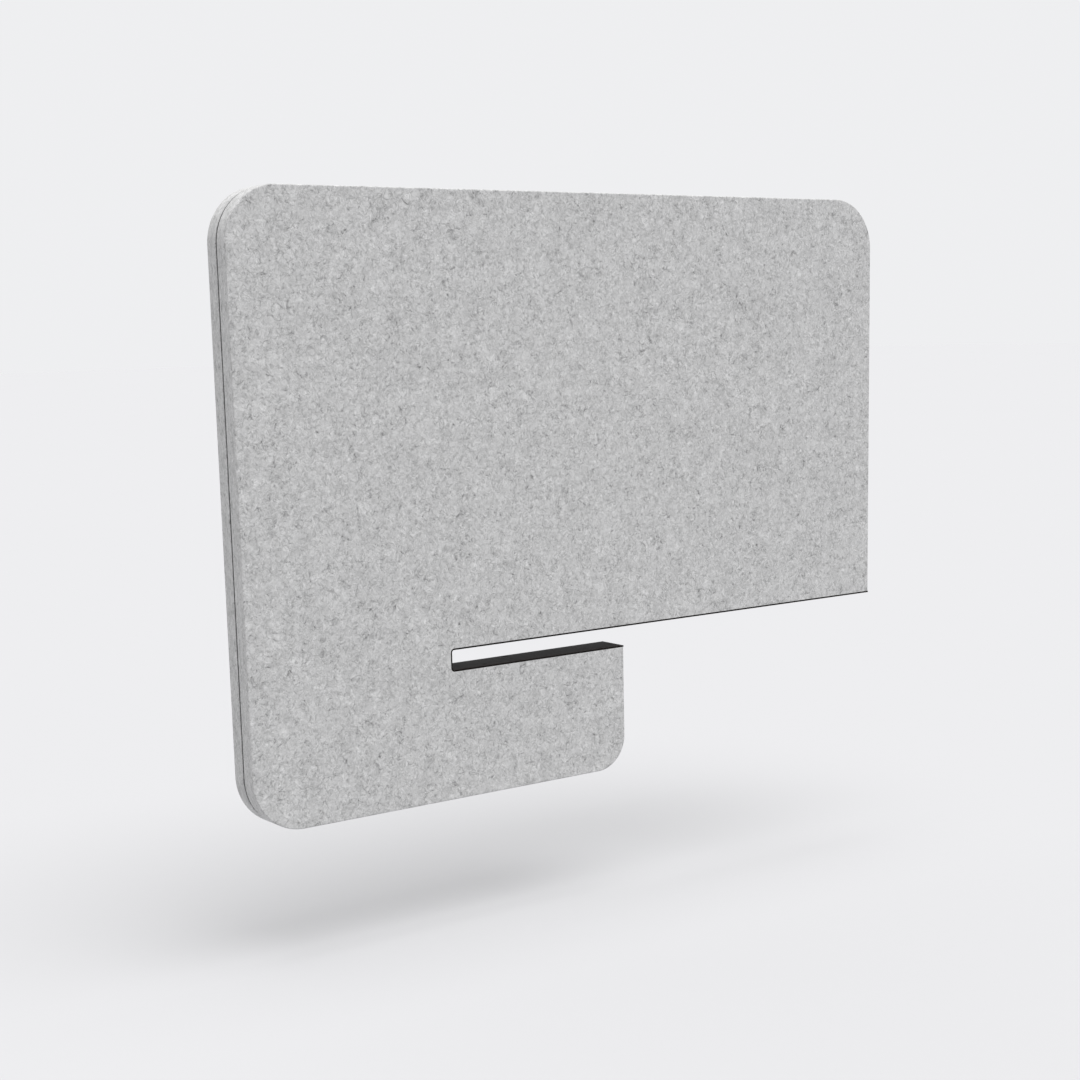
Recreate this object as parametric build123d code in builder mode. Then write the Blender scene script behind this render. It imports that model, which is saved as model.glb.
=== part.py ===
"""Acoustic divider screen for a desk, in millimetres.

Two pressed-felt boards stand back to back on a thin metal core. Together they have a C-shaped
outline: an upper arm stands on the desk top, a leg hangs in front of it and under it, and the slot
between them takes the desk top. A rubber strip lines the slot and a foam strip closes the seam.

+X runs along the screen towards the mouth of the slot, +Y is the thickness, from the front board
to the rear board, and +Z is up. The origin lies on the surface that rests on the desk top, at the
middle of the desk's depth and of the screen's thickness.
"""

import os

from build123d import *

os.makedirs("parts", exist_ok=True)

# Outline
screen_length = 1000.0
screen_height = 740.0
leg_length = 548.0
leg_drop = 188.0
corner_radius = 66.0
leg_corner_radius = 44.0

# Desk top that the slot takes
desk_depth = 720.0
desk_thickness = 25.0

# Layers
board_thickness = 21.0
core_thickness = 3.0
face_easing = 1.5
seam_easing = 0.8

# Rubber strip round the slot: a web with a barbed fin between the boards
liner_thickness = 2.0
slot_corner_radius = 5.0
fin_depth = 8.0
fin_thickness = 1.4
fin_barb_pitch = 3.0
fin_barb_length = 2.2
fin_barb_count = 2
fin_clearance = 0.05

# Foam strip in the seam
seam_setback = 1.0
seam_strip_width = 6.0

# Core plate
plate_clearance = 2.0
rib_width = 26.0
jaw_band = 40.0
window_radius = 18.0
arm_columns = 4
arm_rows = 2
leg_columns = 3

# Flat fir-tree clips that hold the front board
clip_width = 10.0
clip_thickness = 4.0
clip_length = 15.0
clip_stem_width = 6.0
clip_barb_pitch = 3.5
clip_barb_count = 4
clip_flange_width = 16.0
clip_flange_depth = 9.0
clip_flange_thickness = 1.4

# Countersunk screws that hold the rear board
screw_radius = 1.75
screw_head_radius = 3.6
screw_length = 16.0
screw_head_angle = 90.0

# Dowels that line up the boards
dowel_radius = 4.0
dowel_embedment = 12.0
dowel_chamfer = 0.8

# Clearances round the fasteners, and the overrun of a cut
fit_clearance = 0.1
socket_depth_clearance = 0.5
overrun = 1.0

# Places that follow from these sizes
half_core = core_thickness / 2
half_thickness = half_core + board_thickness
arm_end = desk_depth / 2
left_edge = arm_end - screen_length
leg_end = left_edge + leg_length
foot = -leg_drop
crown = foot + screen_height
slot_roof = liner_thickness
slot_floor = -desk_thickness - liner_thickness
slot_back = -desk_depth / 2 - liner_thickness
plate_setback = seam_setback + seam_strip_width + plate_clearance
plate_slot_setback = fin_depth + plate_clearance


def screen_profile(edge_setback, slot_setback):
    """C-shaped outline of the screen, drawn in from its outer edge and back from its slot."""
    left = left_edge + edge_setback
    low = foot + edge_setback
    high = crown - edge_setback
    right = arm_end - edge_setback
    leg_right = leg_end - edge_setback
    back = slot_back - slot_setback
    floor = slot_floor - slot_setback
    roof = slot_roof + slot_setback
    outer_radius = corner_radius - edge_setback
    leg_radius = leg_corner_radius - edge_setback
    inner_radius = slot_corner_radius + slot_setback
    with BuildSketch() as profile:
        with BuildLine():
            FilletPolyline(
                (left, low),
                (leg_right, low),
                (leg_right, floor),
                (back, floor),
                (back, roof),
                (right, roof),
                (right, high),
                (left, high),
                radius=[
                    outer_radius,
                    leg_radius,
                    0,
                    inner_radius,
                    inner_radius,
                    0,
                    outer_radius,
                    outer_radius,
                ],
                close=True,
            )
        make_face()
    return profile.sketch


def rib_lines(low, high, windows):
    """Centre lines of the ribs and rims that part a field of the plate into equal windows."""
    pitch = (high - low + rib_width) / windows
    return [low + pitch * line - rib_width / 2 for line in range(windows + 1)]


def beside_slot(edge):
    """True for the edges of a board that the rubber strip covers."""
    centre = edge.center()
    inside = slot_floor - seam_easing < centre.Z < slot_roof + seam_easing
    return inside and centre.X > slot_back - slot_corner_radius


# The plate's ribs cross on two lattices, one in the arm and one in the leg
arm_rib_x = rib_lines(
    left_edge + plate_setback + rib_width,
    arm_end - plate_setback - rib_width,
    arm_columns,
)
arm_rib_z = rib_lines(
    slot_roof + plate_slot_setback + jaw_band,
    crown - plate_setback - rib_width,
    arm_rows,
)
leg_rib_x = rib_lines(
    left_edge + plate_setback + rib_width,
    leg_end - plate_setback - rib_width,
    leg_columns,
)
leg_rib_z = rib_lines(
    foot + plate_setback + rib_width,
    slot_floor - plate_slot_setback - jaw_band,
    1,
)

# Two dowels sit at the ends of the arm's middle rib
dowel_places = [
    (arm_rib_x[0], arm_rib_z[1]),
    (arm_rib_x[-1], arm_rib_z[1]),
]

# Screws hold the plate near its corners and at the foot of the leg
screw_places = [
    (arm_rib_x[1], arm_rib_z[-1]),
    (arm_rib_x[-2], arm_rib_z[-1]),
    (arm_rib_x[0], arm_rib_z[0]),
    (arm_rib_x[-1], arm_rib_z[0]),
    (leg_rib_x[1], leg_rib_z[0]),
]

# Clips take every other crossing that is clear of the rounded corners
crossings = [(x, arm_rib_z[0]) for x in arm_rib_x]
crossings += [(x, z) for z in arm_rib_z[1:] for x in arm_rib_x[1:-1]]
crossings += [(x, leg_rib_z[0]) for x in leg_rib_x[1:-1]]
crossings += [(x, leg_rib_z[-1]) for x in leg_rib_x[1:]]
clip_places = [place for place in crossings if place not in screw_places]

# One felt board before its holes are drilled, as the front one stands
with BuildPart() as board_blank:
    with BuildSketch(Plane.XZ.offset(half_core)):
        add(screen_profile(0, 0))
    extrude(amount=board_thickness)
    shown_edges = board_blank.faces().sort_by(Axis.Y)[0].edges()
    fillet(shown_edges.filter_by(lambda edge: not beside_slot(edge)), face_easing)
    seam_edges = board_blank.faces().sort_by(Axis.Y)[-1].edges()
    chamfer(seam_edges.filter_by(lambda edge: not beside_slot(edge)), seam_easing)

# Front board, with blind sockets for the clips and the dowels
with BuildPart() as front_board:
    add(board_blank.part)
    with BuildSketch(Plane.XZ.offset(half_core)):
        with Locations(*clip_places):
            Rectangle(clip_width + 2 * fit_clearance, clip_thickness + 2 * fit_clearance)
    extrude(amount=clip_length + socket_depth_clearance, mode=Mode.SUBTRACT)
    with BuildSketch(Plane.XZ.offset(half_core)):
        with Locations(*dowel_places):
            Circle(dowel_radius + fit_clearance)
    extrude(amount=dowel_embedment + socket_depth_clearance, mode=Mode.SUBTRACT)

# Rear board, its mirror image, with pilot holes for the screws
with BuildPart() as rear_board:
    mirror(board_blank.part, about=Plane.XZ)
    with BuildSketch(Plane.XZ.offset(-half_core)):
        with Locations(*screw_places):
            Circle(screw_radius + fit_clearance)
    extrude(
        amount=core_thickness - screw_length - socket_depth_clearance,
        mode=Mode.SUBTRACT,
    )
    with BuildSketch(Plane.XZ.offset(-half_core)):
        with Locations(*dowel_places):
            Circle(dowel_radius + fit_clearance)
    extrude(amount=-dowel_embedment - socket_depth_clearance, mode=Mode.SUBTRACT)

# Core plate: a sheet with the screen's outline, lightened by windows between its ribs
with BuildPart() as core_plate:
    with BuildSketch(Plane.XZ.offset(-half_core)):
        add(screen_profile(plate_setback, plate_slot_setback))
        for rib_x, rib_z in ((arm_rib_x, arm_rib_z), (leg_rib_x, leg_rib_z)):
            window_width = rib_x[1] - rib_x[0] - rib_width
            window_height = rib_z[1] - rib_z[0] - rib_width
            radius = min(window_radius, window_width / 3, window_height / 3)
            centre = ((rib_x[0] + rib_x[-1]) / 2, (rib_z[0] + rib_z[-1]) / 2)
            columns = len(rib_x) - 1
            rows = len(rib_z) - 1
            with Locations(centre):
                with GridLocations(
                    window_width + rib_width, window_height + rib_width, columns, rows
                ):
                    RectangleRounded(
                        window_width, window_height, radius, mode=Mode.SUBTRACT
                    )
    extrude(amount=core_thickness)
    # Stepped holes let the clips' flanges lie flush in the plate's rear face
    with BuildSketch(Plane.XZ.offset(-half_core)):
        with Locations(*clip_places):
            Rectangle(
                clip_flange_width + 2 * fit_clearance,
                clip_flange_depth + 2 * fit_clearance,
            )
    extrude(amount=clip_flange_thickness, mode=Mode.SUBTRACT)
    with BuildSketch(Plane.XZ.offset(-half_core)):
        with Locations(*clip_places):
            Rectangle(clip_width + 2 * fit_clearance, clip_thickness + 2 * fit_clearance)
        with Locations(*dowel_places):
            Circle(dowel_radius + fit_clearance)
    extrude(amount=core_thickness, mode=Mode.SUBTRACT)
    with Locations(Plane.XZ.offset(half_core)):
        with Locations(*screw_places):
            CounterSinkHole(
                radius=screw_radius + fit_clearance,
                counter_sink_radius=screw_head_radius + fit_clearance,
                depth=core_thickness + overrun,
                counter_sink_angle=screw_head_angle,
            )

# Foam strip: a narrow band just inside the boards' edges, open at the mouth of the slot
with BuildPart() as seam_strip:
    with BuildSketch(Plane.XZ.offset(-half_core)):
        add(screen_profile(seam_setback, plate_slot_setback))
        add(
            screen_profile(seam_setback + seam_strip_width, plate_slot_setback),
            mode=Mode.SUBTRACT,
        )
    extrude(amount=core_thickness)

# Rubber strip: its T-shaped section is carried round the slot
with BuildPart() as slot_liner:
    with BuildLine(Plane.XZ) as slot_path:
        FilletPolyline(
            (arm_end, slot_roof),
            (slot_back, slot_roof),
            (slot_back, slot_floor),
            (leg_end, slot_floor),
            radius=slot_corner_radius,
        )
    with BuildSketch(Plane.YZ.offset(arm_end)):
        with Locations((0, slot_roof)):
            Rectangle(
                2 * half_thickness, liner_thickness, align=(Align.CENTER, Align.MAX)
            )
            Rectangle(fin_thickness, fin_depth, align=(Align.CENTER, Align.MIN))
        for barb in range(fin_barb_count):
            shoulder = slot_roof + fin_depth - fin_barb_length - barb * fin_barb_pitch
            with BuildLine():
                Polyline(
                    (-half_core + fin_clearance, shoulder),
                    (half_core - fin_clearance, shoulder),
                    (fin_thickness / 2, shoulder + fin_barb_length),
                    (-fin_thickness / 2, shoulder + fin_barb_length),
                    close=True,
                )
            make_face()
    sweep(path=slot_path.line)

# One fir-tree clip: its flange, its neck in the plate and its barbed blade in the front board
clip_half_outline = [(0, 0), (clip_width / 2, 0)]
for barb in range(clip_barb_count):
    shoulder = core_thickness + clip_length - (clip_barb_count - barb) * clip_barb_pitch
    clip_half_outline += [
        (clip_width / 2, shoulder),
        (clip_stem_width / 2, shoulder + clip_barb_pitch),
    ]
clip_half_outline += [(0, core_thickness + clip_length)]
with BuildPart() as push_clip:
    with BuildSketch(Plane.XZ):
        with BuildLine():
            Polyline(*clip_half_outline, close=True)
        make_face()
        mirror(about=Plane.YZ)
    extrude(amount=clip_thickness / 2, both=True)
    with BuildSketch():
        Rectangle(clip_flange_width, clip_flange_depth)
    extrude(amount=clip_flange_thickness)

with BuildPart() as push_clips:
    with Locations(Plane.XZ.offset(-half_core)):
        with Locations(*clip_places):
            add(push_clip.part)

# One countersunk screw, with its head flush in the plate's front face
with BuildPart() as board_screw:
    with BuildSketch(Plane.XZ):
        with BuildLine():
            Polyline(
                (0, 0),
                (screw_head_radius, 0),
                (screw_radius, screw_radius - screw_head_radius),
                (screw_radius, -screw_length),
                (0, -screw_length),
                close=True,
            )
        make_face()
    revolve(axis=Axis.Z)

with BuildPart() as board_screws:
    with Locations(Plane.XZ.offset(half_core)):
        with Locations(*screw_places):
            add(board_screw.part)

# Dowels through the plate into both boards
with BuildPart() as dowel:
    Cylinder(dowel_radius, core_thickness + 2 * dowel_embedment)
    chamfer(dowel.edges().filter_by(GeomType.CIRCLE), dowel_chamfer)

with BuildPart() as dowels:
    with Locations(Plane.XZ):
        with Locations(*dowel_places):
            add(dowel.part)

front_board.part.label = "front_board"
rear_board.part.label = "rear_board"
core_plate.part.label = "core_plate"
seam_strip.part.label = "seam_strip"
slot_liner.part.label = "slot_liner"
push_clips.part.label = "push_clips"
board_screws.part.label = "board_screws"
dowels.part.label = "dowels"

export_step(front_board.part, "parts/front_board.step")
export_step(rear_board.part, "parts/rear_board.step")
export_step(core_plate.part, "parts/core_plate.step")
export_step(seam_strip.part, "parts/seam_strip.step")
export_step(slot_liner.part, "parts/slot_liner.step")
export_step(push_clips.part, "parts/push_clips.step")
export_step(board_screws.part, "parts/board_screws.step")
export_step(dowels.part, "parts/dowels.step")
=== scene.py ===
"""Acoustic divider screen: two pressed-felt boards, a foam seam strip and a rubber-lined slot.

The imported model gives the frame: metres, +X towards the mouth of the slot, +Y from the front board
to the rear board, +Z up, and the origin on the slot's lined roof, on which the screen rests. The
boards, the slot liner and the seam strip are built here as numpy surfaces in the places of their
CAD nodes, and the pieces between the boards keep their CAD shapes under finishes of their own.
"""

from __future__ import annotations

import logging
from collections.abc import Sequence
from dataclasses import dataclass
from enum import Enum
from typing import Any

import bmesh
import bpy
import numpy as np
from mathutils import Matrix, Vector

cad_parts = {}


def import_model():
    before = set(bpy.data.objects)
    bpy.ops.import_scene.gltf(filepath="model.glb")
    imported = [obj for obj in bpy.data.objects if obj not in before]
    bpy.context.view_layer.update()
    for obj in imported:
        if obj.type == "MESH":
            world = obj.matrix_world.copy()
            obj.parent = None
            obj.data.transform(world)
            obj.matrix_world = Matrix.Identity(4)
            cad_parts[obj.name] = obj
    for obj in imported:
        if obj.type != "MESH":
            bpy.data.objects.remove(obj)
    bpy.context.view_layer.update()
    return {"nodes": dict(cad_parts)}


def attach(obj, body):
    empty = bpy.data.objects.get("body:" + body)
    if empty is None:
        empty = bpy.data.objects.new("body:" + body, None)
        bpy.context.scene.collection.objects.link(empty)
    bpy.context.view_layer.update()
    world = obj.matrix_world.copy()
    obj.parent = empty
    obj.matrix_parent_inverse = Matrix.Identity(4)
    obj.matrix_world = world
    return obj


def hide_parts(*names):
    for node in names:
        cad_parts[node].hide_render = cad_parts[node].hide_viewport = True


log = logging.getLogger("divider_screen")

Point = tuple[float, float]
Triple = tuple[float, float, float]
Colour = Triple
Array = np.ndarray

STRIP_MAP = "strip"  # the UV map that follows a strip
BAKE_MAP = "OFBake"  # the UV map through which a finish can be baked
CUT_EDGE = "cut_edge"  # the number that is 1 on a board's cut edge
JOINED = 2e-6  # metres within which two points are one
FLAT = 1e-7  # metres below which a face has no width


# Shader helpers


class Signal:
    """A number that a shader node gives out, with the arithmetic of Python."""

    def __init__(self, shader: Shader, socket: bpy.types.NodeSocket | float) -> None:
        """Holds an output socket or a plain number, and the shader that it belongs to."""
        self.shader = shader
        self.socket = socket

    def math(self, operation: str, *operands: Signal | float) -> Signal:
        """One Math node.

        Args:
            operation: the node's operation.
            operands: its inputs in order.

        Returns:
            The node's value.
        """
        sockets = dict(enumerate(operands))
        made = self.shader.node("ShaderNodeMath", {"operation": operation}, sockets)
        return Signal(self.shader, made.outputs[0])

    def __add__(self, other: Signal | float) -> Signal:
        """Sum."""
        return self.math("ADD", self, other)

    def __radd__(self, other: float) -> Signal:
        """Sum, number first."""
        return self.math("ADD", other, self)

    def __sub__(self, other: Signal | float) -> Signal:
        """Difference."""
        return self.math("SUBTRACT", self, other)

    def __rsub__(self, other: float) -> Signal:
        """Difference, number first."""
        return self.math("SUBTRACT", other, self)

    def __mul__(self, other: Signal | float) -> Signal:
        """Product."""
        return self.math("MULTIPLY", self, other)

    def __abs__(self) -> Signal:
        """Size without sign."""
        return self.math("ABSOLUTE", self)

    def step(self, low: float, high: float) -> Signal:
        """A smooth step.

        Args:
            low: where the step is 0.
            high: where the step is 1; it may be below low.

        Returns:
            The step's value from 0 to 1.
        """
        sockets = {"Value": self, "From Min": low, "From Max": high, "To Min": 0.0, "To Max": 1.0}
        made = self.shader.node("ShaderNodeMapRange", {"interpolation_type": "SMOOTHSTEP"}, sockets)
        return Signal(self.shader, made.outputs["Result"])


Value = Signal | bpy.types.NodeSocket | float | Sequence[float]


class Shader:
    """The node tree of one material or of the world."""

    def __init__(self, owner: str | bpy.types.World) -> None:
        """Starts with no nodes.

        Args:
            owner: the name of a new material, or a world.
        """
        self.owner = bpy.data.materials.new(owner) if isinstance(owner, str) else owner
        self.owner.use_nodes = True
        self.tree = self.owner.node_tree
        self.tree.nodes.clear()

    def node(
        self,
        kind: str,
        settings: dict[str, Any] | None = None,
        sockets: dict[str | int, Value] | None = None,
    ) -> bpy.types.Node:
        """Adds a node of any kind.

        Args:
            kind: the node's type.
            settings: its properties, set before its sockets.
            sockets: values or links of its inputs, by name or number.

        Returns:
            The node.
        """
        made = self.tree.nodes.new(kind)
        for name, value in (settings or {}).items():
            setattr(made, name, value)
        for key, value in (sockets or {}).items():
            into = made.inputs[key]
            source = value.socket if isinstance(value, Signal) else value
            if isinstance(source, bpy.types.NodeSocket):
                self.tree.links.new(source, into)
            else:
                into.default_value = source
        return made

    def place(self, scale: Triple = (1, 1, 1), shift: Triple = (0, 0, 0)) -> bpy.types.NodeSocket:
        """Object coordinates, stretched and shifted.

        Args:
            scale: how much finer a pattern gets along each axis.
            shift: how far it moves, in stretched metres.

        Returns:
            The coordinates.
        """
        at = self.node("ShaderNodeTexCoord").outputs["Object"]
        sockets = {"Vector": at, "Scale": scale, "Location": shift}
        return self.node("ShaderNodeMapping", None, sockets).outputs[0]

    def stirred(self, at: Value, pitch: float, reach: float) -> bpy.types.NodeSocket:
        """Coordinates pulled about, so that a pattern read with them curls.

        Args:
            at: coordinates.
            pitch: metres from one pull to the next.
            reach: how far the strongest pull goes, in metres.

        Returns:
            The coordinates plus four reaches times a noise, which strays a quarter from its mean.
        """
        noise = {"Vector": at, "Scale": 1 / pitch, "Detail": 1.0}
        pull = self.node("ShaderNodeTexNoise", None, noise).outputs[1]
        about = self.vector("SUBTRACT", pull, (0.5, 0.5, 0.5))
        return self.vector("MULTIPLY_ADD", about, (4 * reach,) * 3, at)

    def vector(self, operation: str, *operands: Value) -> bpy.types.NodeSocket:
        """The vector of one Vector Math node, with its inputs in order."""
        sockets = dict(enumerate(operands))
        return self.node("ShaderNodeVectorMath", {"operation": operation}, sockets).outputs[0]

    def along(self, scale: Point) -> bpy.types.NodeSocket:
        """Coordinates that follow a strip, stretched along it and round it."""
        at = self.node("ShaderNodeUVMap", {"uv_map": STRIP_MAP}).outputs[0]
        return self.vector("MULTIPLY", at, (*scale, 1.0))

    def noise(
        self, at: Value, scale: float, detail: float = 1.0, rough: float = 0.5, warp: float = 0.0
    ) -> Signal:
        """Cloudy noise about 0.5.

        Args:
            at: coordinates.
            scale: clouds to a metre.
            detail: how many finer layers are added.
            rough: how strong each finer layer is.
            warp: how far the clouds are pulled out of shape.

        Returns:
            The noise.
        """
        sockets = {"Vector": at, "Scale": scale, "Detail": detail}
        sockets |= {"Roughness": rough, "Distortion": warp}
        return Signal(self, self.node("ShaderNodeTexNoise", None, sockets).outputs[0])

    def cells(self, at: Value, scale: float) -> tuple[Signal, Signal]:
        """Scattered points.

        Args:
            at: coordinates.
            scale: points to a metre.

        Returns:
            The distance to the nearest point, in cells, and a random number that the point owns.
        """
        made = self.node("ShaderNodeTexVoronoi", None, {"Vector": at, "Scale": scale})
        split = self.node("ShaderNodeSeparateColor", None, {0: made.outputs["Color"]})
        return Signal(self, made.outputs["Distance"]), Signal(self, split.outputs[0])

    def tinted(self, tint: Colour, value: Signal) -> bpy.types.NodeSocket:
        """A tint at a given strength: half the strength mixes black with twice the tint.

        Args:
            tint: the colour at strength 1.
            value: the strength, from 0 to 2.

        Returns:
            The colour.
        """
        twice = (*(2 * part for part in tint), 1.0)
        sockets = {0: value * 0.5, 6: (0.0, 0.0, 0.0, 1.0), 7: twice}
        return self.node("ShaderNodeMix", {"data_type": "RGBA"}, sockets).outputs[2]

    def bump(self, height: Signal, depth: float, strength: float) -> bpy.types.NodeSocket:
        """The normal of a surface that rises by depth, in metres, where its height goes up by 1."""
        sockets = {"Height": height, "Distance": depth, "Strength": strength}
        return self.node("ShaderNodeBump", None, sockets).outputs[0]

    def finish(self, sockets: dict[str | int, Value]) -> bpy.types.Material:
        """Ends the tree in a Principled shader.

        Args:
            sockets: values or links of the shader's inputs.

        Returns:
            The finished material.
        """
        shader = self.node("ShaderNodeBsdfPrincipled", None, sockets)
        self.node("ShaderNodeOutputMaterial", None, {0: shader.outputs[0]})
        return self.owner


# Finishes


@dataclass(frozen=True)
class FibreLayer:
    """One family of marks in the felt; each kind says where its marks lie."""

    pitch: float  # metres from mark to mark
    strength: float  # how much brighter a mark is than the felt; below 0 it is darker
    relief: float = 0.0  # how far a mark stands up, beside the others

    def marks(self, shader: Shader, at: Value) -> Signal:
        """Where the marks are: 1 on a mark and 0 beside it."""
        raise NotImplementedError


@dataclass(frozen=True)
class Clouds(FibreLayer):
    """Thicker and thinner places of the web: noise about 0."""

    detail: float = 1.0  # how many finer layers are added
    rough: float = 0.5  # how strong each finer layer is
    stir: float = 0.4  # how far the clouds are pulled out of shape

    def marks(self, shader: Shader, at: Value) -> Signal:
        """The noise, less its mean."""
        return shader.noise(at, 1 / self.pitch, self.detail, self.rough, self.stir) - 0.5


@dataclass(frozen=True)
class Curls(FibreLayer):
    """Long fibres that curl: level lines of stirred noise, cut into lengths by another noise."""

    width: float = 0.04  # half a fibre's width, as a share of the noise's height
    cover: float = 0.8  # how much of the surface has such fibres; 1 is nearly all
    stir: float = 1.2  # how far the fibres are pulled out of shape
    finer: float = 1.9  # how much finer the noise that cuts them into lengths
    levels: Point = (0.66, 0.36)  # where it cuts at a cover of 0 and of 1
    fade: float = 0.08  # the span of that noise over which a fibre's end fades
    core: float = 0.2  # the share of the width within which a fibre is full

    def marks(self, shader: Shader, at: Value) -> Signal:
        """A narrow band round the noise's mean, where the finer noise is above a level.

        Args:
            shader: the felt's shader.
            at: coordinates.

        Returns:
            1 on a fibre and 0 beside it.
        """
        low, high = self.levels
        level = low + (high - low) * self.cover
        away = abs(shader.noise(at, 1 / self.pitch, 0.0, 0.5, self.stir) - 0.5)
        kept = shader.noise(at, self.finer / self.pitch, 0.0).step(level, level + self.fade)
        return away.step(self.width, self.width * self.core) * kept


@dataclass(frozen=True)
class Tufts(FibreLayer):
    """Small knots of fibre at some of the scattered points."""

    radius: float = 0.42  # a tuft's radius, in pitches
    share: float = 0.25  # the share of the points that have a tuft
    core: float = 0.3  # the share of the radius within which a tuft is full
    full: float = 0.7  # the share of the tufts that are at full strength

    def marks(self, shader: Shader, at: Value) -> Signal:
        """A soft disc round each point whose own number is among the highest.

        Args:
            shader: the felt's shader.
            at: coordinates.

        Returns:
            1 in a tuft and 0 beside it.
        """
        away, owned = shader.cells(at, 1 / self.pitch)
        strong = owned.step(1 - self.share, 1 - self.share * self.full)
        return away.step(self.radius, self.radius * self.core) * strong


@dataclass(frozen=True)
class Finish:
    """What every finish has."""

    name: str  # the material's name
    tint: Colour  # its mean colour

    def material(self) -> bpy.types.Material:
        """Builds the material."""
        raise NotImplementedError


@dataclass(frozen=True)
class PressedFelt(Finish):
    """Needled and pressed polyester felt: pale grey with darker and lighter fibres."""

    tint: Colour = (0.506, 0.506, 0.506)
    lay: float = 2.6  # how much thinner the fibres are through the board than in its plane
    shift: Triple = (0.0, 0.0, 0.0)  # moves the pattern, so that no two boards are alike
    # Clouds that are alike everywhere.
    web: tuple[FibreLayer, ...] = (
        Clouds(1 / 34, 0.03),
        Clouds(1 / 66, 0.30, 0.5, stir=0.6),
    )
    # Marks that crowd together in the busy places.
    fibres: tuple[FibreLayer, ...] = (
        Clouds(1 / 120, 0.48, 0.5, rough=0.7, stir=1.2),
        Clouds(1 / 270, 0.65, 0.5, detail=2.0, rough=0.8),
        Curls(1 / 36, -0.16, width=0.018, cover=1.2, stir=1.6),
        Curls(1 / 52, -0.17, width=0.026, cover=1.1),
        Curls(1 / 75, -0.17, width=0.034, cover=1.1),
        Curls(1 / 105, -0.17, width=0.044, cover=1.0),
        Curls(1 / 150, -0.16, width=0.055, cover=1.0),
        Curls(1 / 50, 0.08, 0.18, width=0.022, cover=1.1, stir=1.6),
        Curls(1 / 75, 0.09, 0.18, width=0.032, cover=1.0),
        Curls(1 / 115, 0.10, width=0.045, cover=0.9),
        Tufts(1 / 150, -0.16, radius=0.40, share=0.30),
        Tufts(1 / 210, -0.16, radius=0.44, share=0.30),
    )
    crowd: float = 1 / 70  # pitch of the busy places
    busy: Point = (0.38, 0.62)  # the noise's levels between which a place turns busy
    quiet: float = 0.8  # share of the fibres' strength that is left between the busy places
    curl_pitch: float = 1 / 110  # metres from one pull at the fibres to the next
    curl_reach: float = 0.0022  # how far the strongest pull goes
    apart: float = 0.37  # metres along each axis from one family's pattern to the next
    needled: float = 0.20  # strength of the lines that run along the cut edges
    needling: Triple = (40.0, 240.0, 40.0)  # how fine these lines are along each axis
    nap: float = 0.0006  # metres between the lowest and the highest fibres

    def material(self) -> bpy.types.Material:
        """Builds the felt: every mark adds its strength to the tone and its relief to the height.

        Returns:
            The material.
        """
        s = Shader(self.name)
        flat = s.place((1.0, self.lay, 1.0), self.shift)
        curled = s.stirred(flat, self.curl_pitch, self.curl_reach)
        busy = s.noise(flat, 1 / self.crowd, 1.0, 0.5, 0.5).step(*self.busy)
        crowd = self.quiet + busy * (1.0 - self.quiet) * 2.0
        tone, height = Signal(s, 1.0), Signal(s, 0.5)
        for number, layer in enumerate(self.web + self.fibres):
            marks = layer.marks(s, s.vector("ADD", curled, (number * self.apart,) * 3))
            if layer in self.fibres:
                marks = marks * crowd
            tone = tone + marks * layer.strength
            if layer.relief:
                height = height + marks * layer.relief
        needling = s.noise(s.place(self.needling, self.shift), 1.0, 2.0, 0.6, 0.3)
        edge = Signal(s, s.node("ShaderNodeAttribute", {"attribute_name": CUT_EDGE}).outputs["Fac"])
        lines = (needling - 0.5) * edge
        sockets = {
            "Base Color": s.tinted(self.tint, tone + lines * self.needled),
            "Roughness": 0.94,
            "Specular IOR Level": 0.25,
            "Sheen Weight": 0.12,
            "Sheen Roughness": 0.55,
            "Normal": s.bump(height + lines * 0.8, self.nap, 0.7),
        }
        return s.finish(sockets)


@dataclass(frozen=True)
class ExtrudedRubber(Finish):
    """Near-black rubber with fine extrusion lines, a trace of pale dust and painted shade in its
    tint.
    """

    # the tint is darker than black rubber: painted shade of the gap where the slot meets the desk
    tint: Colour = (0.009, 0.007, 0.0062)
    drawn: Point = (6.0, 2600.0)  # lines to a metre along the strip and across it
    grain: float = 900.0  # grains of its skin to a metre
    dusty: float = 60.0  # patches of dust to a metre

    def material(self) -> bpy.types.Material:
        """Builds the rubber.

        Returns:
            The material.
        """
        s = Shader(self.name)
        lines = s.noise(s.along(self.drawn), 1.0, 3.0, 0.6)
        skin = s.noise(s.place(), self.grain, 2.0, 0.6)
        dust = s.noise(s.place(), self.dusty, 4.0, 0.7, 0.5).step(0.56, 0.8)
        sockets = {
            "Base Color": s.tinted(self.tint, 0.75 + lines * 0.35 + dust * 0.35),
            "Roughness": 0.6 + lines * 0.12 + dust * 0.2,
            "Specular IOR Level": 0.06,
            "Normal": s.bump(lines * 0.7 + skin * 0.3, 0.00012, 0.6),
        }
        return s.finish(sockets)


@dataclass(frozen=True)
class CellFoam(Finish):
    """Charcoal closed-cell foam, whose tint is darkened further as painted shade of the seam's gap.
    """

    # the tint is darker than the foam's own: painted shade in the gap between the boards
    tint: Colour = (0.010, 0.010, 0.011)
    cells: float = 1500.0  # cells to a metre

    def material(self) -> bpy.types.Material:
        """Builds the foam.

        Returns:
            The material.
        """
        s = Shader(self.name)
        away, owned = s.cells(s.place(), self.cells)
        wall = away.step(0.15, 0.75)
        sockets = {
            "Base Color": s.tinted(self.tint, 0.55 + wall * 0.6 + owned * 0.25),
            "Roughness": 0.9 - wall * 0.15,
            "Specular IOR Level": 0.3,
            "Normal": s.bump(wall, 0.0003, 0.8),
        }
        return s.finish(sockets)


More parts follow.
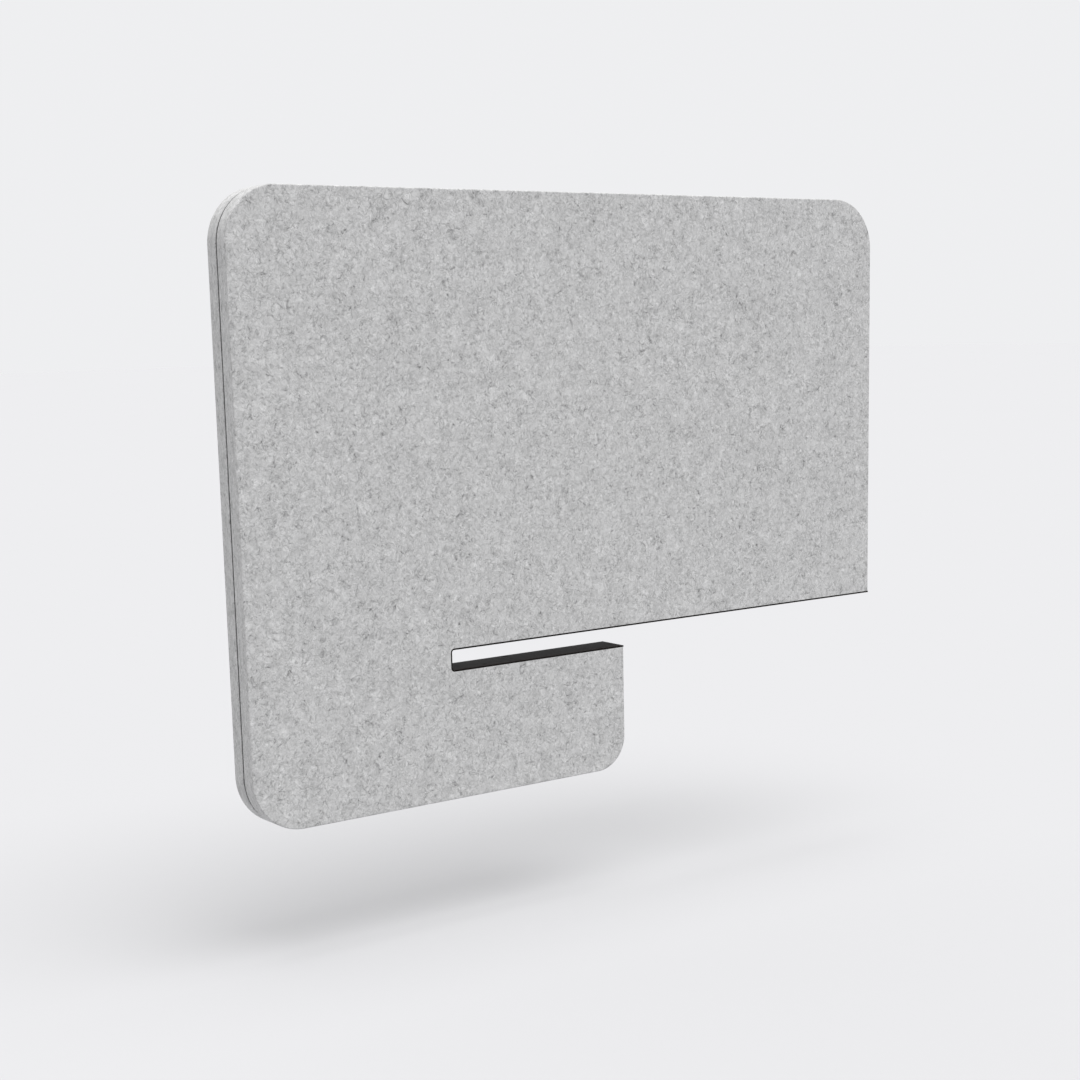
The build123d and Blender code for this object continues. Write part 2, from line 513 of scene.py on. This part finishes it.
@dataclass(frozen=True)
class BlackAnodised(Finish):
    """Black anodised aluminium sheet with its rolling grain along the screen."""

    tint: Colour = (0.035, 0.036, 0.039)
    rolled: Triple = (14.0, 900.0, 900.0)  # lines of the grain to a metre along each axis
    handled: float = 9.0  # clouds of dulling to a metre

    def material(self) -> bpy.types.Material:
        """Builds the sheet's finish.

        Returns:
            The material.
        """
        s = Shader(self.name)
        grain = s.noise(s.place(self.rolled), 1.0, 3.0, 0.6)
        handled = s.noise(s.place(), self.handled, 3.0, 0.6, 0.8)
        sockets = {
            "Base Color": s.tinted(self.tint, 0.7 + grain * 0.35 + handled * 0.25),
            "Metallic": 0.85,
            "Roughness": 0.36 + grain * 0.12 + handled * 0.12,
            "Normal": s.bump(grain, 0.00004, 0.5),
        }
        return s.finish(sockets)


@dataclass(frozen=True)
class MouldedNylon(Finish):
    """Natural nylon with faint flow marks and a fine mould texture."""

    tint: Colour = (0.70, 0.69, 0.64)
    flowing: Triple = (60.0, 20.0, 60.0)  # flow marks to a metre along each axis
    sparked: float = 2200.0  # pits of the mould's texture to a metre

    def material(self) -> bpy.types.Material:
        """Builds the nylon.

        Returns:
            The material.
        """
        s = Shader(self.name)
        flow = s.noise(s.place(self.flowing), 1.0, 3.0, 0.5, 1.5)
        spark = s.noise(s.place(), self.sparked, 1.0)
        sockets = {
            "Base Color": s.tinted(self.tint, 0.9 + flow * 0.2),
            "Roughness": 0.38 + flow * 0.14 + spark * 0.06,
            "Subsurface Weight": 0.1,
            "Subsurface Radius": (0.002, 0.002, 0.0016),
            "Normal": s.bump(spark * 0.6 + flow * 0.4, 0.00006, 0.5),
        }
        return s.finish(sockets)


@dataclass(frozen=True)
class ZincedSteel(Finish):
    """Bright zinc on steel, with its fine crystals and a little dulling."""

    tint: Colour = (0.60, 0.61, 0.63)
    crystals: float = 1300.0  # crystals to a metre
    dulled: float = 240.0  # clouds of dulling to a metre

    def material(self) -> bpy.types.Material:
        """Builds the plated steel.

        Returns:
            The material.
        """
        s = Shader(self.name)
        _, crystal = s.cells(s.place(), self.crystals)
        dull = s.noise(s.place(), self.dulled, 3.0, 0.6, 0.6)
        sockets = {
            "Base Color": s.tinted(self.tint, 0.82 + crystal * 0.12 + dull * 0.1),
            "Metallic": 1.0,
            "Roughness": 0.26 + crystal * 0.08 + dull * 0.16,
            "Normal": s.bump(crystal * 0.4 + dull * 0.6, 0.00003, 0.4),
        }
        return s.finish(sockets)


# Surfaces


def traced(
    start: Point,
    corners: Sequence[Triple],
    end: Point,
    turns: Sequence[int],
    runs: Sequence[int],
) -> list[Array]:
    """A line in the XZ plane with rounded corners, and the way out of the material at each point.

    A straight run is its first point plus a growing share of the way to its last, which the next
    stretch brings, and its way out is to the right. A corner is its centre plus its radius times
    the cosine and sine of an angle that turns evenly by a quarter. Its way out is away from its
    centre where the line turns left, and towards it where the line turns right.

    Args:
        start: the line's first point.
        corners: (x, z, radius) of each corner.
        end: the line's last point.
        turns: points round each corner.
        runs: points on the straight runs before, between and after the corners.

    Returns:
        (x, z, out x, out z) of each point, straight and round stretches by turns.
    """
    stops = np.array((start, *(corner[:2] for corner in corners), end), float)
    radii = [0.0, *(corner[2] for corner in corners), 0.0]
    ways = np.diff(stops, axis=0)
    ways /= np.linalg.norm(ways, axis=1)[:, None]
    line = []
    for number, (way, run) in enumerate(zip(ways, runs, strict=True)):
        first = stops[number] + way * radii[number]
        last = stops[number + 1] - way * radii[number + 1]
        share = np.linspace(0, 1, run, endpoint=False)[:, None]
        line.append(np.c_[first + (last - first) * share, np.tile((way[1], -way[0]), (run, 1))])
        if number < len(corners):
            onward, radius = ways[number + 1], radii[number + 1]
            side = way[0] * onward[1] - way[1] * onward[0]
            turned = np.linspace(0, np.pi / 2, turns[number], endpoint=False)
            angle = np.arctan2(-way[0] * side, way[1] * side) + side * turned
            ray = np.c_[np.cos(angle), np.sin(angle)]
            line.append(np.c_[last + onward * radius + radius * ray, ray * side])
    return line


def walked(points: Array) -> Array:
    """The metres from the first row of points to each row, along the lines down the rows."""
    steps = np.diff(points, axis=0, prepend=points[:1])
    return np.cumsum(np.linalg.norm(steps, axis=-1), axis=0)


def grid_faces(rows: int, columns: int) -> list[list[int]]:
    """Quads of a grid whose points are numbered row by row and whose last column joins the first.

    Args:
        rows: points down.
        columns: points across.

    Returns:
        Four point numbers for each quad: at its column and row, one row on, and both one column on.
    """
    near = np.arange(rows * columns).reshape(rows, columns)
    far = np.roll(near, -1, axis=1)
    return np.stack((near[:-1], near[1:], far[1:], far[:-1]), axis=-1).reshape(-1, 4).tolist()


def carried(
    line: list[Array], end: Point, section: Array, setback: float = 0.0
) -> tuple[Array, list[list[int]], Array]:
    """Carries a closed section along an open line and closes both ends with the section itself.

    Each point lies at the line's point, less its way out times the sum of the setback and the
    section's depth, at the section's place across.

    Args:
        line: the line, as traced gives it.
        end: its last point.
        section: (across, inwards) of each point of the section.
        setback: how far inside the line the section's depth begins.

    Returns:
        Points, faces, and the metres along the line and round the section at each face's corners.
    """
    rows = np.concatenate(line)
    points = np.concatenate((rows[:, :2], [end]))
    out = np.concatenate((rows[:, 2:], rows[-1:, 2:]))
    walk = points[:, None] - out[:, None] * (setback + section[None, :, 1:2])
    across = np.broadcast_to(section[None, :, 0], walk.shape[:2])
    places = np.stack((walk[..., 0], across, walk[..., 1]), axis=-1)
    uv = np.stack(np.broadcast_arrays(walked(points)[:, None], walked(section)), axis=-1)
    caps = np.arange(across.size).reshape(across.shape)[[0, -1]].tolist()
    faces = [*grid_faces(*across.shape), caps[0], caps[1][::-1]]
    return places.reshape(-1, 3), faces, uv.reshape(-1, 2)[np.concatenate(faces)]


def new_piece(
    name: str,
    finish: Finish,
    places: Array,
    faces: list[list[int]],
    maps: dict[str, Array] | None = None,
    numbers: dict[str, Array] | None = None,
    smooth_below: float = 40.0,
) -> bpy.types.Object:
    """Makes a piece from arrays: joins its doubles, turns its faces outwards and dresses it.

    Args:
        name: its name, which is also that of the CAD node that it stands for.
        finish: its finish.
        places: its points, one a row, in metres.
        faces: its faces' corner numbers.
        maps: named UV maps, with a pair for each corner of each face.
        numbers: named numbers for each point.
        smooth_below: edges sharper than this many degrees stay sharp.

    Returns:
        The piece, at the origin.
    """
    mesh = bpy.data.meshes.new(name)
    mesh.from_pydata(places.tolist(), [], faces)
    for title, pairs in (maps or {}).items():
        layer = mesh.uv_layers.new(name=title)
        layer.data.foreach_set("uv", pairs.astype(np.float32).ravel())
    for title, values in (numbers or {}).items():
        layer = mesh.attributes.new(title, "FLOAT", "POINT")
        layer.data.foreach_set("value", values.astype(np.float32))
    work = bmesh.new()
    work.from_mesh(mesh)
    bmesh.ops.remove_doubles(work, verts=work.verts, dist=JOINED)
    bmesh.ops.dissolve_degenerate(work, dist=FLAT, edges=work.edges)
    bmesh.ops.recalc_face_normals(work, faces=work.faces)
    work.to_mesh(mesh)
    work.free()
    mesh.shade_smooth()
    mesh.set_sharp_from_angle(angle=np.radians(smooth_below))
    mesh.materials.append(finish.material())
    piece = bpy.data.objects.new(name, mesh)
    bpy.context.scene.collection.objects.link(piece)
    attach(piece, "root")
    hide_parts(name)
    return piece


@dataclass(frozen=True)
class ScreenShape:
    """The C-shaped outline that every layer of the screen shares, in metres."""

    left: float = -0.640  # left edge
    arm_end: float = 0.360  # right edge of the arm
    leg_end: float = -0.092  # right edge of the leg
    foot: float = -0.188  # bottom of the leg
    crown: float = 0.552  # top of the arm
    slot_roof: float = 0.002  # felt above the slot
    slot_floor: float = -0.027  # felt below the slot
    slot_back: float = -0.362  # felt at the slot's closed end
    corner: float = 0.066  # radius of the three large corners
    leg_corner: float = 0.044  # radius of the leg's corner
    slot_corner: float = 0.005  # radius of the slot's closed end
    mouth_corner: float = 0.0017  # radius of the corners at the slot's mouth
    half: float = 0.0225  # half the screen's thickness
    half_gap: float = 0.0015  # half the gap between the boards

    def outer(self) -> tuple[Triple, ...]:
        """(x, z, radius) of the outside's corners, from the arm's upper one to the leg's."""
        big = ((self.arm_end, self.crown), (self.left, self.crown), (self.left, self.foot))
        return (*((*at, self.corner) for at in big), (self.leg_end, self.foot, self.leg_corner))

    def slot(self) -> tuple[Triple, ...]:
        """(x, z, radius) of the corners at the slot's closed end, the lower one first."""
        heights = (self.slot_floor, self.slot_roof)
        return tuple((self.slot_back, height, self.slot_corner) for height in heights)

    def mouth(self) -> tuple[Point, Point]:
        """Where the slot's floor and then its roof end."""
        return (self.leg_end, self.slot_floor), (self.arm_end, self.slot_roof)


class Side(Enum):
    """Which way a board's shown face looks."""

    FRONT = -1
    REAR = 1


# Where the face's rings lie, from the middle line at 1 to the outline at 0.
RINGS = (1, 0.93, 0.86, 0.78, 0.7, 0.62, 0.54, 0.46, 0.38, 0.3, 0.22, 0.15, 0.09, 0.045, 0.018)
# The face's three long waves: radians to a metre along X and Z, and where each starts.
WAVES: tuple[Triple, ...] = ((31, 13, 1.1), (-17, 37, 2.3), (53, -29, 0.4))


@dataclass
class FeltBoard:
    """One pressed-felt board: its section is carried round the C-shaped outline."""

    name: str  # the piece's name
    side: Side  # which way its shown face looks
    felt: PressedFelt  # its finish
    shape: ScreenShape = ScreenShape()  # the screen's outline
    easing: float = 0.0016  # radius between its shown face and its edge
    seam_easing: float = 0.0009  # radius between its edge and its hidden face
    slot_easing: float = 0.0003  # radius of its edges under the rubber
    rim: float = 0.0006  # flat border between the shown face's rings and the easing
    seam_rim: float = 0.0004  # the same border on the hidden face
    arm_short: float = 0.26  # how far the middle line stops short of the arm's end
    spine_in: float = 0.14  # how far the middle line lies inside the left edge
    leg_short: float = 0.08  # how far the middle line stops short of the leg's end
    pitch: float = 0.008  # distance between points along its long straight edges
    tip_steps: tuple[int, int] = (26, 34)  # points on the arm's end, above and below its middle
    leg_tip_steps: int = 16  # points on the leg's end
    turns: tuple[int, ...] = (48, 48, 48, 32, 6, 8, 8, 6)  # points round each corner
    ease_steps: int = 8  # points round the easing
    wall_steps: int = 10  # points down the edge
    sway: float = 0.00012  # how far its face may lie back from flat
    flat_rim: float = 0.004  # width of the face's border that is flat
    fade: float = 0.03  # distance over which the face's waves rise past that border
    margin: float = 0.008  # border of its flat layout, whose side is 1
    hidden_size: float = 0.21  # size of the hidden face there, beside the shown one's 1
    laps: int = 4  # lengths that the layout cuts the edge into

    def outline(self) -> tuple[Array, Array, Array, Array]:
        """The board's outline, counter-clockwise seen from the front, round its middle line.

        The middle line runs from the arm's tip to the spine's top, down to the spine's foot and out
        to the leg's tip. The outer half of the outline faces it going out, and the half round the
        slot faces it coming back, point by point, so that both halves meet on it. A knot says what
        a stretch of the outline faces where it starts, and how round its edge is there.

        Returns:
            Points, ways out, targets and easing.
        """
        s = self.shape
        middle, leg_middle = (s.crown + s.slot_roof) / 2, (s.foot + s.slot_floor) / 2
        tip = (s.arm_end - self.arm_short, middle)
        top = (s.left + self.spine_in, middle)
        foot = (s.left + self.spine_in, leg_middle)
        leg_tip = (s.leg_end - self.leg_short, leg_middle)
        arm = round((s.arm_end - s.left - 2 * s.corner) / self.pitch)
        spine = round((s.crown - s.foot - 2 * s.corner) / self.pitch)
        leg = round((s.leg_end - s.left - s.corner - s.leg_corner) / self.pitch)
        above, below = self.tip_steps

        mouth = [(*place, s.mouth_corner) for place in s.mouth()]
        corners = (*s.outer(), mouth[0], *s.slot(), mouth[1])
        runs = (above, arm, spine, leg, self.leg_tip_steps, leg, spine, arm, below)
        line = traced((s.arm_end, middle), corners, (s.arm_end, middle), self.turns, runs)
        faced = [tip] * 3 + [top, top, foot, foot] + [leg_tip] * 2
        eased = [self.easing] * 10 + [self.slot_easing] * 6 + [self.easing] * 2
        knots = np.c_[faced + faced[::-1], eased]
        at = [number + np.arange(len(rows)) / len(rows) for number, rows in enumerate(line)]
        place, order = np.concatenate(at), np.arange(len(knots))
        between = np.stack([np.interp(place, order, knot) for knot in knots.T], axis=-1)
        rows = np.concatenate(line)
        return rows[:, :2], rows[:, 2:], between[:, :2], between[:, 2]

    def build(self) -> bpy.types.Object:
        """Carries the section round the outline.

        Each row of the grid is the outline drawn in by a distance, at a depth. The rows go from the
        middle line out over the shown face, round the easing (a quarter circle: inset r(1 - sin a),
        depth r(1 - cos a)), down the cut edge, round the seam's easing and back to the middle line
        over the hidden face, which has every second ring.

        Returns:
            The board.
        """
        s = self.shape
        points, normals, targets, easing = self.outline()
        ease = easing[None, :]
        seam = np.minimum(self.seam_easing, easing)[None, :]
        thick = s.half - s.half_gap
        front, back = len(RINGS), len(RINGS[::-2])
        turn = np.radians(np.linspace(0, 90, self.ease_steps))[:, None]
        down = np.linspace(0, 1, self.wall_steps + 2)[1:-1, None]

        face_inset = np.tile(ease + self.rim, (front + 1, 1))
        face_depth = np.zeros_like(face_inset)
        round_inset, round_depth = ease * (1 - np.sin(turn)), ease * (1 - np.cos(turn))
        wall_depth = ease + (thick - ease - seam) * down
        wall_inset = np.zeros_like(wall_depth)
        seam_inset = seam * (1 - np.cos(turn[::2]))
        seam_depth = thick - seam * (1 - np.sin(turn[::2]))
        back_inset = np.tile(seam + self.seam_rim, (back, 1))
        back_depth = np.full_like(back_inset, thick)

        inset = np.concatenate((face_inset, round_inset, wall_inset, seam_inset, back_inset))
        depth = np.concatenate((face_depth, round_depth, wall_depth, seam_depth, back_depth))
        share, cut = np.zeros(len(inset)), np.zeros(len(inset))
        share[:front], share[-back:] = RINGS, RINGS[::-2]
        cut[front + 1 : -back] = 1.0
        cut[front + 1 : front + 3] = (0.2, 0.6)  # the needling begins softly

        ring = points[None] - normals[None] * inset[..., None]
        flat = ring + (targets[None] - ring) * share[:, None, None]
        from_edge = np.linalg.norm(flat - points[None], axis=-1)
        depth = depth + self.relief(flat, from_edge) * (depth == 0)
        y = self.side.value * (s.half - depth)
        places = np.stack((flat[..., 0], y, flat[..., 1]), axis=-1)
        return new_piece(
            self.name,
            self.felt,
            places.reshape(-1, 3),
            grid_faces(*inset.shape),
            maps={BAKE_MAP: self.layout(places, points, front, len(inset) - back - 1)},
            numbers={CUT_EDGE: np.repeat(cut, len(points))},
            smooth_below=60.0,
        )

    def layout(self, places: Array, points: Array, edge_row: int, hidden_row: int) -> Array:
        """Lays the whole surface out on a square, so that no two faces share a place there.

        The shown face takes the square's width, and the hidden one lies, smaller, in the empty
        corner beside the leg. The edge is unrolled, cut into lengths and laid below: metres along
        the outline go across, and metres down the section go up, doubled.

        Args:
            places: the board's points, row by row.
            points: the outline.
            edge_row: the row where the shown face ends.
            hidden_row: the row where the hidden face begins.

        Returns:
            A UV pair for each corner of each face.
        """
        s, margin, small, laps = self.shape, self.margin, self.hidden_size, self.laps
        unit = (1 - 2 * margin) / (s.arm_end - s.left)
        middle = np.array(((s.left + s.arm_end) / 2, (s.foot + s.crown) / 2))
        corner = np.array(((s.leg_end + s.arm_end) / 2, (s.foot + s.slot_roof) / 2))
        centre = np.array((0.5, 1 - margin - unit * (s.crown - middle[1])))
        facing = np.array((-self.side.value, 1)) * unit

        flat = places[..., (0, 2)] - middle
        shown = centre + flat * facing
        hidden = centre + (corner - middle + flat * (-small, small)) * facing

        passed = walked(np.concatenate((points, points[:1])))
        starts, ends = passed[:-1], passed[1:]
        lap = np.floor(laps * starts / ends[-1]).astype(int)
        first = starts[np.searchsorted(lap, lap)]
        down = walked(places)
        rise = 2 * unit * (down - down[edge_row])
        foot = margin + lap * (1 - 2 * margin - unit * (s.crown - s.foot)) / laps
        reach = unit * (np.stack((starts, ends)) - first)
        near, far = 0.5 + self.side.value * (margin - 0.5 + reach)
        before = np.stack(np.broadcast_arrays(near, foot + rise), axis=-1)
        after = np.stack(np.broadcast_arrays(far, foot + np.roll(rise, -1, axis=1)), axis=-1)

        row = np.arange(len(places) - 1)[:, None, None, None]
        sides = [(grid, np.roll(grid, -1, axis=1)) for grid in (shown, hidden)] + [(before, after)]
        shown, hidden, edge = (np.stack((a[:-1], a[1:], b[1:], b[:-1]), axis=2) for a, b in sides)
        return np.select((row < edge_row, row >= hidden_row), (shown, hidden), edge).reshape(-1, 2)

    def relief(self, flat: Array, from_edge: Array) -> Array:
        """How far the face lies back from flat.

        It is half the sway, times one plus the mean of three sines of the place, times a fade that
        is 0 near the edge and 1 away from it.

        Args:
            flat: points of the face.
            from_edge: their distance from the outline.

        Returns:
            Metres at each point.
        """
        x, z = flat[..., 0], flat[..., 1]
        waves = sum(np.sin(across * x + up * z + start) for across, up, start in WAVES)
        fade = np.clip((from_edge - self.flat_rim) / self.fade, 0, 1)
        return self.sway * fade * (1 + waves / len(WAVES)) / 2


@dataclass
class SlotLiner:
    """Rubber strip round the slot: a T-shaped section carried along the slot's wall."""

    rubber: ExtrudedRubber  # its finish
    shape: ScreenShape = ScreenShape()  # the screen's outline
    web: float = 0.002  # the strip's thickness in the slot
    fin: float = 0.008  # how deep its fin goes between the boards
    fin_half: float = 0.0007  # half the fin's thickness
    barbs: int = 2  # barbs on each side of the fin
    barb_half: float = 0.00145  # half the width over a barb
    barb_pitch: float = 0.003  # distance between the barbs
    barb_length: float = 0.0022  # length of a barb
    arris: float = 0.00045  # radius of the strip's shown edges
    arris_steps: int = 5  # points round a shown edge
    nick: float = 0.0001  # how far its hidden edges are cut off
    runs: tuple[int, ...] = (54, 6, 144)  # points along the slot's floor, closed end and roof
    turns: tuple[int, ...] = (12, 12)  # points round its corners

    def section(self) -> Array:
        """Half the section from the fin's tip to the middle of the web, then its mirror image.

        Returns:
            (across the slot, into the felt) of each point, one closed loop.
        """
        wide, thin, r = self.shape.half, self.fin_half, self.arris
        turn = np.radians(np.linspace(0, 90, self.arris_steps))
        shown = np.c_[wide - r + r * np.cos(turn), -self.web + r - r * np.sin(turn)]
        half = []
        for barb in range(self.barbs):
            tip = self.fin - self.barb_length - barb * self.barb_pitch
            half += [(thin, tip + self.barb_length), (self.barb_half, tip), (thin, tip)]
        half += [(thin, 0.0), (wide * 0.5, 0.0), (wide - self.nick, 0.0), (wide, -self.nick)]
        half += [*shown, (wide * 0.8, -self.web), (wide * 0.4, -self.web)]
        return np.concatenate((half, np.multiply(half[::-1], (-1, 1))))

    def build(self) -> bpy.types.Object:
        """Carries the section along the floor, round the closed end and along the roof of the slot.

        Returns:
            The liner.
        """
        start, end = self.shape.mouth()
        line = traced(start, self.shape.slot(), end, self.turns, self.runs)
        places, faces, uv = carried(line, end, self.section())
        maps = {STRIP_MAP: uv}
        return new_piece(
            "slot_liner", self.rubber, places, faces, maps, smooth_below=35.0
        )


@dataclass
class SeamStrip:
    """Foam strip between the boards, just inside their edges, open at the mouth of the slot."""

    foam: CellFoam  # its finish
    shape: ScreenShape = ScreenShape()  # the screen's outline
    setback: float = 0.001  # how far it lies inside the boards' edges
    width: float = 0.006  # its width
    crown: float = 0.0005  # how far its outer face bulges
    slot_gap: float = 0.010  # how far its ends stay from the slot
    crown_steps: int = 7  # points across its outer face
    runs: tuple[int, ...] = (24, 40, 30, 20, 6)  # points along the straight edges
    turns: tuple[int, ...] = (40, 40, 40, 28)  # points round each corner

    def section(self) -> Array:
        """A rectangle with a bulging outer side: the crown times one minus the place squared.

        Returns:
            (across, inwards) of each point, one closed loop.
        """
        half = self.shape.half_gap
        place = np.linspace(1, -1, self.crown_steps)
        outer = np.c_[place * half, -self.crown * (1 - place**2)]
        return np.concatenate((outer, [(-half, self.width), (half, self.width)]))

    def build(self) -> bpy.types.Object:
        """Carries the section round the outer edge, from above the slot's mouth to below it.

        Returns:
            The strip.
        """
        s = self.shape
        start = (s.arm_end, s.slot_roof + self.slot_gap)
        end = (s.leg_end, s.slot_floor - self.slot_gap)
        line = traced(start, s.outer(), end, self.turns, self.runs)
        places, faces, _ = carried(line, end, self.section(), self.setback)
        return new_piece("seam_strip", self.foam, places, faces, smooth_below=50.0)


# Studio


@dataclass(frozen=True)
class Camera:
    """The photograph's viewpoint."""

    position: Triple = (-1.6040, -1.9346, 0.3870)  # where it stands, in metres
    yaw: float = 35.745  # degrees that it turns right from +Y
    pitch: float = -10.144  # degrees that it looks up
    roll: float = -1.336  # degrees that it leans
    focal: float = 1882.2  # focal length in pixels of the frame
    centre: Point = (540.0, 665.0)  # the optical axis in the frame, in pixels
    frame: float = 1080.0  # the frame's side, in pixels

    def build(self) -> None:
        """Makes the camera and gives it to the scene."""
        yaw, pitch, roll = np.radians((self.yaw, self.pitch, self.roll))
        ahead = np.array((np.sin(yaw) * np.cos(pitch), np.cos(yaw) * np.cos(pitch), np.sin(pitch)))
        level = np.array((np.cos(yaw), -np.sin(yaw), 0.0))
        upright = np.cross(level, ahead)
        right = np.cos(roll) * level + np.sin(roll) * upright
        up = np.cos(roll) * upright - np.sin(roll) * level
        turn = Matrix([[*row] for row in np.c_[right, up, -ahead]]).to_4x4()
        lens = bpy.data.cameras.new("camera")
        lens.lens = self.focal / self.frame * lens.sensor_width
        lens.shift_x = 0.5 - self.centre[0] / self.frame
        lens.shift_y = self.centre[1] / self.frame - 0.5
        made = bpy.data.objects.new("camera", lens)
        made.matrix_world = Matrix.Translation(self.position) @ turn
        bpy.context.scene.collection.objects.link(made)
        bpy.context.scene.camera = made


@dataclass(frozen=True)
class Lamp:
    """A soft sun."""

    name: str  # the lamp's name
    towards: Triple  # the direction from the screen to the lamp
    strength: float  # its strength on a face that looks at it
    spread: float  # how many degrees of the sky it fills

    def from_above(self) -> float:
        """How brightly it lights a level face."""
        return self.strength * Vector(self.towards).normalized().z

    def build(self) -> None:
        """Makes the lamp."""
        sun = bpy.data.lights.new(self.name, "SUN")
        sun.energy = self.strength * np.pi
        sun.angle = np.radians(self.spread)
        lamp = bpy.data.objects.new(self.name, sun)
        lamp.matrix_world = (-Vector(self.towards)).to_track_quat("-Z", "Y").to_matrix().to_4x4()
        bpy.context.scene.collection.objects.link(lamp)


@dataclass
class Studio:
    """Pale floor, pale backdrop and soft light."""

    floor_level: float = -0.35  # height of the floor
    floor_half: float = 40.0  # half the floor's side
    floor_colour: Colour = (0.4633, 0.4633, 0.4723)  # the floor's paint
    mottles: float = 0.8  # clouds in the paint to a metre
    mottling: float = 0.006  # how much the paint's brightness varies
    glow: float = 0.25  # share of its brightness that it gives off itself, to keep shadows light
    backdrop: Colour = (0.858, 0.861, 0.875)  # what the camera sees past the floor
    ambient: float = 0.5  # strength of the light from all round
    lamps: tuple[Lamp, ...] = (
        Lamp("key", (0.095, -0.251, 0.963), 1.305, 58.0),
        Lamp("fill", (0.0, 0.9, 0.45), 0.19, 90.0),
    )

    def build(self) -> None:
        """Makes the floor, the world and the lamps."""
        self.floor()
        self.world()
        for lamp in self.lamps:
            lamp.build()

    def floor(self) -> None:
        """A floor under the screen that is clear when seen from below."""
        half, level = self.floor_half, self.floor_level
        square = [(x * half, y * half, level) for x, y in ((-1, -1), (1, -1), (1, 1), (-1, 1))]
        mesh = bpy.data.meshes.new("floor")
        mesh.from_pydata(square, [], [(0, 1, 2, 3)])
        s = Shader("floor_paint")
        mottle = s.noise(s.place(), self.mottles, 2.0)
        light = self.ambient + sum(lamp.from_above() for lamp in self.lamps)
        dull = tuple(part * (1 - self.glow) for part in self.floor_colour)
        sockets = {
            "Base Color": s.tinted(dull, 1 - self.mottling / 2 + mottle * self.mottling),
            "Emission Color": (*self.floor_colour, 1.0),
            "Emission Strength": self.glow * light,
            "Roughness": 1.0,
            "Specular IOR Level": 0.0,
        }
        paint = s.node("ShaderNodeBsdfPrincipled", None, sockets).outputs[0]
        clear = s.node("ShaderNodeBsdfTransparent").outputs[0]
        under = s.node("ShaderNodeNewGeometry").outputs["Backfacing"]
        seen = s.node("ShaderNodeMixShader", None, {0: under, 1: paint, 2: clear}).outputs[0]
        s.node("ShaderNodeOutputMaterial", None, {0: seen})
        mesh.materials.append(s.owner)
        floor = bpy.data.objects.new("floor", mesh)
        bpy.context.scene.collection.objects.link(floor)

    def world(self) -> None:
        """Even light from all round, and a pale backdrop for what looks straight at it."""
        world = bpy.data.worlds.new("studio")
        s = Shader(world)
        white = {"Color": (1.0, 1.0, 1.0, 1.0), "Strength": self.ambient}
        light = s.node("ShaderNodeBackground", None, white).outputs[0]
        seen = s.node("ShaderNodeBackground", None, {"Color": (*self.backdrop, 1.0)}).outputs[0]
        path = s.node("ShaderNodeLightPath").outputs
        rays = (Signal(s, path[f"Is {kind} Ray"]) for kind in ("Camera", "Glossy", "Transmission"))
        choice = s.node("ShaderNodeMixShader", None, {0: sum(rays), 1: light, 2: seen}).outputs[0]
        s.node("ShaderNodeOutputWorld", None, {0: choice})
        bpy.context.scene.world = world


def dress(node: bpy.types.Object, material: bpy.types.Material) -> None:
    """Gives a CAD node a finish through its own material slots.

    Args:
        node: the CAD node's object.
        material: the finish.
    """
    if not node.material_slots:
        node.data.materials.append(material)
    for held in node.material_slots:
        held.material = material


def corners(box: tuple[Any, Any]) -> list[list[float]]:
    """A box's lowest and highest corners as plain numbers."""
    return [[float(part) for part in corner] for corner in box]


def main() -> None:
    """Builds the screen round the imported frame."""
    logging.basicConfig(level=logging.INFO, format="%(name)s: %(message)s")
    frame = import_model()
    assemblies = (
        FeltBoard("front_board", Side.FRONT, PressedFelt("felt_front")),
        FeltBoard("rear_board", Side.REAR, PressedFelt("felt_rear", shift=(3.1, 0.4, 1.7))),
        SlotLiner(ExtrudedRubber("liner_rubber")),
        SeamStrip(CellFoam("seam_foam")),
    )
    for assembly in assemblies:
        piece = assembly.build()
        log.info("%s: %d faces", piece.name, len(piece.data.polygons))
    finishes: dict[str, Finish] = {
        "core_plate": BlackAnodised("core_metal"),
        "push_clips": MouldedNylon("clip_nylon"),
        "board_screws": ZincedSteel("screw_steel"),
        "dowels": ZincedSteel("dowel_steel"),
    }
    for name, finish in finishes.items():
        dress(frame["nodes"][name], finish.material())
        log.info("%s: CAD shape, %s", name, finish.name)
    Studio().build()
    Camera().build()
    bpy.context.scene.view_settings.view_transform = "Standard"


if __name__ == "__main__":
    main()
